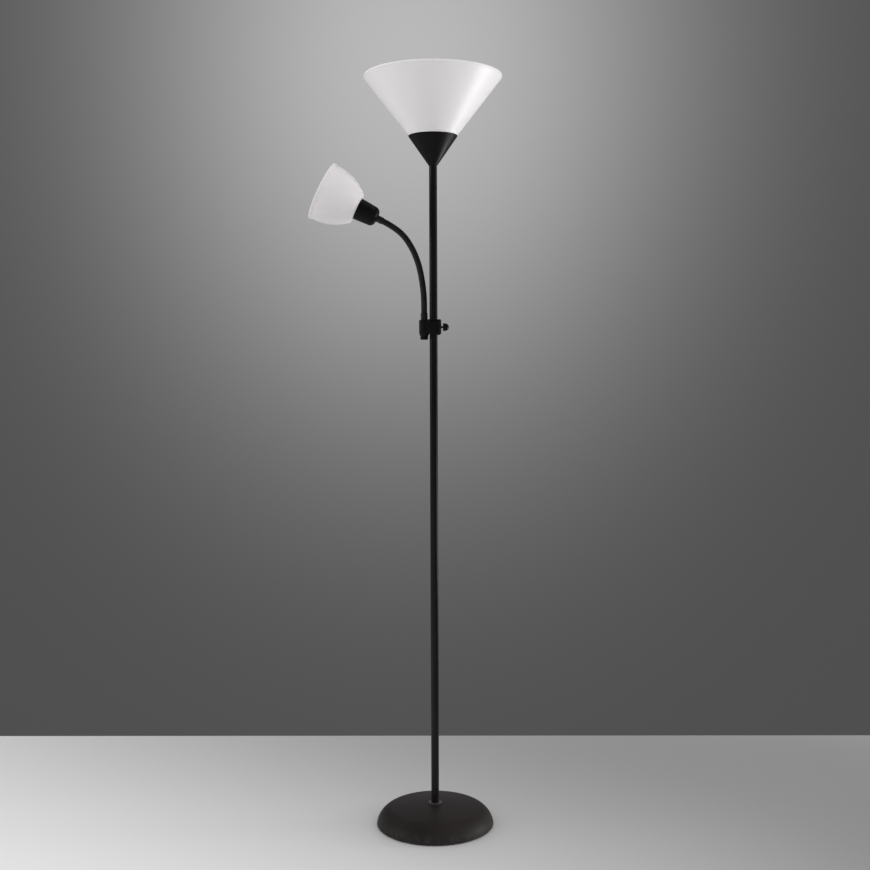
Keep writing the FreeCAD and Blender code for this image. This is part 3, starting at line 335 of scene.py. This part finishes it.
cement = castCement("castCement", {
    "dark": (0.40, 0.385, 0.36), "light": (0.52, 0.505, 0.475), "pitShadeColour": (0.22, 0.21, 0.20),
    "sandScale": 700.0, "pitScale": 160.0, "pitEdge": (0.10, 0.20), "stainScale": 22.0,
    "sandPart": 0.3, "pitPart": 0.7, "depth": 0.0006, "rough": 0.88, "stainRough": 0.1})


# Soft black pieces, closed-cell foam or moulded rubber: small cells in relief and a matt bloom.
def softBlack(name, values):
    f = newFinish(name)
    where = f.place()
    cell = f.cells(where, values["cellScale"])
    bloom = f.noise(where, values["bloomScale"], 3.0)
    return f.close(Base_Color=f.blend(bloom, values["dark"], values["light"]),
                   Roughness=values["rough"] + (bloom - 0.5) * values["bloomRough"],
                   Normal=f.bump(cell, values["cellDepth"]))


foamPad = softBlack("foamPad", {
    "dark": (0.012, 0.012, 0.012), "light": (0.022, 0.022, 0.022), "cellScale": 1400.0,
    "cellDepth": 0.0003, "bloomScale": 30.0, "bloomRough": 0.1, "rough": 0.92})
inletRubber = softBlack("inletRubber", {
    "dark": (0.010, 0.010, 0.010), "light": (0.017, 0.017, 0.017), "cellScale": 2600.0,
    "cellDepth": 0.00003, "bloomScale": 30.0, "bloomRough": 0.1, "rough": 0.60})

wirePair = {
    "brown": (0.075, 0.030, 0.013), "blue": (0.016, 0.050, 0.135), "partHalf": 0.00005,
    "smearScale": 300.0, "smearDepth": 0.00003, "rough": 0.42, "smearRough": 0.1}


# Wire insulation: one wire of each pair is brown, the other blue, parted on the pair's middle plane.
def wireInsulation(name, axis):
    f = newFinish(name)
    where = f.place()
    side = f.parts(where)[axis].step(-wirePair["partHalf"], wirePair["partHalf"])
    smear = f.noise(where, wirePair["smearScale"])
    return f.close(Base_Color=f.blend(side, wirePair["brown"], wirePair["blue"]),
                   Roughness=wirePair["rough"] + (smear - 0.5) * wirePair["smearRough"],
                   Normal=f.bump(smear, wirePair["smearDepth"]))


wiresAcross = wireInsulation("wirePairAcross", 0)
wiresDeep = wireInsulation("wirePairDeep", 1)

finishOf = {
    "base_cover": basePaint, "base_collar": collarPaintedHighlight, "base_weight": cement, "base_pad": foamPad,
    "cord_grommet": inletRubber, "supply_wires": wiresAcross, "upper_wires": wiresAcross,
    "neck_feed_wires": wiresDeep, "switch_shaft": ferrulePaint, "neck_foot": ferrulePaint,
    "head_ferrule": ferrulePaint, "main_shade": mainMilky, "reading_shade": readingMilky,
    "main_bulb_globe": opalBulb, "reading_bulb_globe": opalBulb, "main_bulb_cap": nickel,
    "reading_bulb_cap": nickel}
for node in ("pole_lower", "pole_middle", "pole_upper"):
    finishOf[node] = polePaint
for node in ("housing_front", "housing_back", "neck_end_cap", "switch_knob", "top_cup", "head_cup"):
    finishOf[node] = blackPlastic
for node in ("base_pipe", "cup_pipe", "pipe_washers", "pipe_nuts", "pole_end_bushes", "pole_joint_bush",
             "pole_end_rings", "housing_screws", "neck_washer", "neck_nut", "head_nut"):
    finishOf[node] = zincSteel
for node in ("switch_body", "main_socket_body", "head_socket_body", "main_shade_ring", "head_shade_ring"):
    finishOf[node] = phenolic
for node in ("main_socket_shell", "main_socket_contact", "head_socket_shell", "head_socket_contact"):
    finishOf[node] = brass
for stretch in ("foot", "1", "2", "3", "4", "head"):
    finishOf["neck_tube_" + stretch] = neckCover
    finishOf["neck_wires_" + stretch] = wiresDeep
for name, solid in nodes.items():
    solid.data.materials.clear()
    solid.data.materials.append(finishOf[name])
print("finishes on", len(finishOf), "solids")


# Joins a grid of points into quads. Each row is a closed ring, and with closed rows the last row meets
# the first. Points that fall together are merged, and a shape that comes out inside out is turned over.
def surface(name, grid, finish, crease, closedRows=False):
    rows, columns = grid.shape[:2]
    row = np.arange(rows if closedRows else rows - 1)
    a, b = np.meshgrid(row, np.arange(columns), indexing="ij")
    nextA, nextB = (a + 1) % rows, (b + 1) % columns
    here, there = a * columns, nextA * columns
    faces = np.stack([here + b, here + nextB, there + nextB, there + b], -1).reshape(-1, 4)
    points = grid.reshape(-1, 3)
    corners = points[faces]
    first = np.cross(corners[:, 1] - corners[:, 0], corners[:, 2] - corners[:, 0])
    second = np.cross(corners[:, 2] - corners[:, 0], corners[:, 3] - corners[:, 0])
    if ((first + second) * (corners.mean(1) - points.mean(0))).sum() < 0:
        faces = faces[:, ::-1]
    mesh = bpy.data.meshes.new(name)
    mesh.from_pydata(points.tolist(), [], faces.tolist())
    work = bmesh.new()
    work.from_mesh(mesh)
    bmesh.ops.remove_doubles(work, verts=work.verts, dist=1e-6)
    work.to_mesh(mesh)
    work.free()
    mesh.polygons.foreach_set("use_smooth", np.ones(len(mesh.polygons), bool))
    mesh.set_sharp_from_angle(angle=math.radians(crease))
    mesh.materials.append(finish)
    piece = bpy.data.objects.new(name, mesh)
    bpy.context.scene.collection.objects.link(piece)
    return piece


# Evenly spaced angles of a ring, without a second copy of the first
def ringAngles(count):
    return np.linspace(0, 2 * np.pi, count, endpoint=False)


# Centre line of the gooseneck: straight up from the ferrule, then each length turns evenly by its angle.
# Its lean is a straight-line function of the way travelled, its place the running sum of its direction.
neck = {
    "start": (-0.0223, 1.2440), "straight": 0.0180, "points": 6001,
    "lengths": (0.040, 0.040, 0.040, 0.040, 0.038, 0.038), "turns": (6.5, 5.0, 10.5, 12.0, 20.0, 9.5),
    "intoHead": 0.0118, "intoFoot": 0.0130,
    "radius": 0.00725, "wall": 0.00105, "ribPitch": 0.0017, "ribDepth": 0.00026, "ribPower": 1.5,
    "rowsPerRib": 8, "around": 44, "crease": 60.0}
knots = np.cumsum([0.0, neck["straight"], *neck["lengths"]])
leans = np.radians(np.cumsum([0.0, 0.0, *neck["turns"]]))
travel = np.linspace(-neck["intoFoot"], knots[-1] + neck["intoHead"], neck["points"])
lean = np.interp(travel, knots, leans)
run = np.diff(travel)[0]
alongX = np.concatenate([[0.0], np.cumsum(-(np.sin(lean[1:]) + np.sin(lean[:-1])) / 2 * run)])
alongZ = np.concatenate([[0.0], np.cumsum((np.cos(lean[1:]) + np.cos(lean[:-1])) / 2 * run)])
alongX += neck["start"][0] - np.interp(0.0, travel, alongX)
alongZ += neck["start"][1] - np.interp(0.0, travel, alongZ)


def neckPlace(s):
    return np.stack([np.interp(s, travel, alongX), np.zeros_like(s), np.interp(s, travel, alongZ)], -1)


# A tube round the centre line: its radius less a rounded rib that climbs like a screw thread, then back
# through a smooth inner wall with one row to each rib, so that a ring closes each end.
def sleevePiece(name, low, high):
    rows = int(round((high - low) / neck["ribPitch"] * neck["rowsPerRib"]))
    s = np.linspace(low, high, rows + 1)
    phi = ringAngles(neck["around"])
    phase = 2 * np.pi * s[:, None] / neck["ribPitch"] + phi[None, :]
    outer = neck["radius"] - neck["ribDepth"] * (0.5 - 0.5 * np.cos(phase)) ** neck["ribPower"]
    s = np.concatenate([s, s[::-neck["rowsPerRib"]], s[:1]])
    inner = np.full((len(s) - rows - 1, len(phi)), neck["radius"] - neck["wall"])
    radius = np.concatenate([outer, inner])
    theta = np.interp(s, knots, leans)
    side = np.stack([np.cos(theta), np.zeros_like(theta), np.sin(theta)], -1)
    points = (neckPlace(s)[:, None, :] + (radius * np.cos(phi))[..., None] * side[:, None, :]
              + (radius * np.sin(phi))[..., None] * np.array([0.0, 1.0, 0.0]))
    return surface(name, points, neckCover, neck["crease"], closedRows=True)


middles = knots[1:-1] + np.array(neck["lengths"]) / 2
footSleeve = sleevePiece("neck_sleeve_foot", travel[0], middles[0])
headSleeve = sleevePiece("neck_sleeve_head", middles[-1], travel[-1])
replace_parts(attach(footSleeve, "neck_base"), "neck_tube_foot")
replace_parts(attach(headSleeve, "reading_head"), "neck_tube_head")
links = ("neck_base", "neck_link_1", "neck_link_2", "neck_link_3", "neck_link_4", "reading_head")
bends = len(links) - 1
for bend in range(bends):
    low, high = middles[bend], middles[bend + 1]
    sleeve = sleevePiece(f"neck_sleeve_{bend + 1}", low, high)
    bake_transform(sleeve)
    if bend < bends - 1:
        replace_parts(sleeve, f"neck_tube_{bend + 1}")
print("gooseneck sleeve in", bends + 2, "lengths")


# Screws in the back of the housing. The slot's walls and the arms' ends fade between these shares of their
# half width and length.
screws = {
    "places": ((0.0144, 1.1974), (0.0144, 1.2236), (-0.0145, 1.2243)), "turns": (0.3, 1.1, 0.7),
    "seat": 0.0070, "radius": 0.0022, "height": 0.0016, "domePower": 4, "domeReach": 0.97,
    "slotDepth": 0.0013, "slotHalf": 0.00034, "slotFade": (0.65, 1.35), "arm": 0.00135,
    "armFade": (0.75, 1.10), "rings": 22, "evenTo": 0.9, "edgeRings": (0.94, 0.97, 0.99, 1.0),
    "around": 96, "crease": 28.0}


# 1 below the first of two shares of size, 0 above the second, straight between
def fade(distance, size, shares):
    low, high = shares
    return np.clip((high * size - distance) / ((high - low) * size), 0, 1)


# Pan head with a cross recess: height is a dome over the radius, less a cross whose arms fade out.
def screwHead(name, x, z, turn):
    share = np.concatenate([np.linspace(0, screws["evenTo"], screws["rings"]), screws["edgeRings"]])
    phi = ringAngles(screws["around"])
    u = (share * screws["radius"])[:, None] * np.cos(phi)
    v = (share * screws["radius"])[:, None] * np.sin(phi)
    near = np.minimum(np.abs(u), np.abs(v))
    reach = np.maximum(np.abs(u), np.abs(v))
    cut = fade(near, screws["slotHalf"], screws["slotFade"])
    cut = cut * fade(reach, screws["arm"], screws["armFade"])
    dome = np.sqrt(np.clip(1 - (share * screws["domeReach"]) ** screws["domePower"], 0, 1))[:, None]
    height = screws["height"] * dome - screws["slotDepth"] * cut
    height[-1] = 0.0
    flat = np.zeros((1, len(phi)))
    u, v, height = [np.concatenate([flat, part, flat]) for part in (u, v, height)]
    height[0] = height[1]
    c, s = math.cos(turn), math.sin(turn)
    points = np.stack([x + u * c - v * s, screws["seat"] + height, z + u * s + v * c], -1)
    return surface(name, points, zincSteel, screws["crease"])


heads = [screwHead(f"housing_screw_head_{index + 1}", x, z, turn)
         for index, ((x, z), turn) in enumerate(zip(screws["places"], screws["turns"]))]
for head in heads:
    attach(head, "stand")
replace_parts(heads[0], "housing_screws")

# Thread on the main socket's sleeve, for the shade's ring; its ends sink into the sleeve by the inset
thread = {
    "low": 1.6518, "high": 1.6572, "pitch": 0.0021, "root": 0.01972, "crest": 0.02030, "inset": 0.0004,
    "flatness": 2.2, "rowsPerTurn": 14, "around": 90, "crease": 45.0}


# Radius swings between root and crest in a flattened wave of the height less the turn.
def threadPiece(name):
    z = np.arange(thread["low"], thread["high"], thread["pitch"] / thread["rowsPerTurn"])
    phi = ringAngles(thread["around"])
    wave = np.cos(2 * np.pi * z[:, None] / thread["pitch"] - phi[None, :])
    swing = 0.5 + 0.5 * np.tanh(thread["flatness"] * wave) / np.tanh(thread["flatness"])
    radius = thread["root"] + (thread["crest"] - thread["root"]) * swing
    sunk = np.full((1, len(phi)), thread["root"] - thread["inset"])
    radius = np.concatenate([sunk, radius, sunk])
    z = np.concatenate([z[:1], z, z[-1:]])
    points = np.stack([radius * np.cos(phi), radius * np.sin(phi), np.repeat(z[:, None], len(phi), 1)], -1)
    return surface(name, points, phenolic, thread["crease"], closedRows=True)


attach(threadPiece("main_sleeve_thread"), "stand")
print("screw heads and sleeve thread")


# Pale floor whose tone is painted light and shade. Its slope is a sum of x, y and their products, each times
# its share, and an S-shaped curve of the slope gives the painted fall of light across it.
ground = {
    "back": 0.678, "backSlant": -0.008, "front": -7.0, "side": 7.0,
    "start": -1.111, "x": 0.603, "y": 0.718, "xy": -0.642, "yy": -0.495, "xx": -0.171, "xyy": 0.185,
    "gain": 2.447, "offset": -1.378, "darkest": 0.23, "palest": 0.85,
    "cloudScale": 1.3, "cloud": 0.02, "paintedFrontShade": 0.30, "paintedFrontShadeEdge": (0.40, 1.10),
    "rough": 0.60, "shine": 0.15, "grainScale": 160.0, "grainDepth": 0.00005}


# Painted light: its tone falls from the front left to the back right, and painted shade darkens it a little
# in front of the lamp.
def floorFinish():
    f = newFinish("paleFloor")
    where = f.place()
    x, y = f.parts(where)[:2]
    slope = (ground["start"] + x * ground["x"] + y * ground["y"] + x * y * ground["xy"]
             + y * y * ground["yy"] + x * x * ground["xx"] + x * y * y * ground["xyy"])
    # painted fall of light across the floor, from the slope
    paintedLightFall = 1.0 / (1.0 + slope.maths("EXPONENT"))
    cloud = (f.noise(where, ground["cloudScale"]) - 0.5) * ground["cloud"]
    # painted shade: the floor is made darker in front of the lamp
    front = 1.0 - (-y).step(*ground["paintedFrontShadeEdge"]) * ground["paintedFrontShade"]
    tone = paintedLightFall * ground["gain"] + ground["offset"] + cloud
    tone = tone.limited(ground["darkest"], ground["palest"]) * front
    grain = f.noise(where, ground["grainScale"])
    return f.close(Base_Color=f.grey(tone), Roughness=ground["rough"], Specular_IOR_Level=ground["shine"],
                   Normal=f.bump(grain, ground["grainDepth"]))


def floorPiece():
    side = ground["side"]
    slant = ground["backSlant"] * side
    corners = [(-side, ground["front"], 0.0), (side, ground["front"], 0.0),
               (side, ground["back"] + slant, 0.0), (-side, ground["back"] - slant, 0.0)]
    mesh = bpy.data.meshes.new("floor")
    mesh.from_pydata(corners, [], [(0, 1, 2, 3)])
    mesh.materials.append(floorFinish())
    floor = bpy.data.objects.new("floor", mesh)
    bpy.context.scene.collection.objects.link(floor)
    return floor


floorPiece()

# Places and widths of the glow and of the pale part are directions, in degrees
backdrop = {
    "dark": 0.078, "glow": 0.407, "glowTurn": 1.24, "glowEvery": 45.0, "glowHigh": 14.2, "glowWide": 8.6,
    "glowTall": 11.2, "pale": 0.42, "paleEdge": (-19.5, -18.5), "ambient": 0.91}


# Backdrop that the camera sees, also in gloss and through glass: dark grey with a soft oval glow, repeated
# all round so that other views have one too, and pale well below the horizon. Other rays get an even white.
def studioWorld():
    world = bpy.data.worlds.new("studio")
    bpy.context.scene.world = world
    f = Finish(world)
    x, y, z = f.parts(f.node("ShaderNodeTexCoord", output="Generated"))
    azimuth = x.maths("ARCTAN2", y) + math.radians(backdrop["glowTurn"])
    azimuth = azimuth.maths("PINGPONG", math.radians(backdrop["glowEvery"] / 2)) * math.degrees(1.0)
    high = z.maths("ARCSINE") * math.degrees(1.0)
    across = azimuth / backdrop["glowWide"]
    up = (high - backdrop["glowHigh"]) / backdrop["glowTall"]
    glow = ((across * across + up * up) * -0.5).maths("EXPONENT")
    wall = backdrop["dark"] + glow * backdrop["glow"]
    pale = 1.0 - high.step(*backdrop["paleEdge"])
    seen = wall * (1.0 - pale) + pale * backdrop["pale"]
    path = f.node("ShaderNodeLightPath")
    kinds = ("Is Camera Ray", "Is Glossy Ray", "Is Transmission Ray")
    direct, glossy, through = [Link(f, path.socket.node.outputs[kind]) for kind in kinds]
    shown = direct.maths("MAXIMUM", glossy).maths("MAXIMUM", through)
    tone = backdrop["ambient"] + (seen - backdrop["ambient"]) * shown
    sky = f.node("ShaderNodeBackground", {}, {"Color": f.grey(tone), "Strength": 1.0})
    f.node("ShaderNodeOutputWorld", {}, {"Surface": sky})


studioWorld()


# A soft box that faces a point; spread narrows its beam.
def softBox(name, place, target, size, power, spread):
    lamp = bpy.data.lights.new(name, "AREA")
    lamp.shape = "RECTANGLE"
    lamp.size, lamp.size_y = size
    lamp.energy = power
    lamp.spread = math.radians(spread)
    box = bpy.data.objects.new(name, lamp)
    box.location = place
    box.rotation_euler = (Vector(target) - Vector(place)).to_track_quat("-Z", "Y").to_euler()
    bpy.context.scene.collection.objects.link(box)


lamps = {
    "lowRight": {"place": (2.05, 0.62, 0.75), "target": (0.0, 0.0, 1.70), "size": (1.0, 1.2), "power": 2.1,
                 "spread": 40.0},
    "stripLeft": {"place": (-2.4, -0.25, 1.70), "target": (0.0, 0.0, 1.15), "size": (0.40, 1.6),
                  "power": 1.15, "spread": 60.0},
    "rimRight": {"place": (2.2, 0.1, 1.85), "target": (0.0, 0.0, 1.35), "size": (0.3, 1.6), "power": 4.4,
                 "spread": 180.0},
    "baseRight": {"place": (2.3, 0.2, 0.55), "target": (0.06, 0.0, 0.03), "size": (0.5, 0.5), "power": 1.0,
                  "spread": 50.0}}
for name, values in lamps.items():
    softBox(name, **values)

# Focus and frame in pixels of the photograph, angles in degrees, sensor in millimetres
shot = {"place": (0.0026, -2.83, 1.124), "pitch": 3.47, "roll": -0.196, "focus": 1180.0, "frame": 870.0,
        "sensor": 36.0}
lens = bpy.data.cameras.new("view")
lens.sensor_width = shot["sensor"]
lens.lens = shot["sensor"] * shot["focus"] / shot["frame"]
camera = bpy.data.objects.new("view", lens)
tilt = Matrix.Rotation(math.radians(90.0 - shot["pitch"]), 4, "X")
roll = Matrix.Rotation(math.radians(shot["roll"]), 4, "Z")
camera.matrix_world = Matrix.Translation(shot["place"]) @ tilt @ roll
bpy.context.scene.collection.objects.link(camera)
bpy.context.scene.camera = camera
bpy.context.scene.view_settings.view_transform = "Standard"
print("floor, world, lamps and camera")
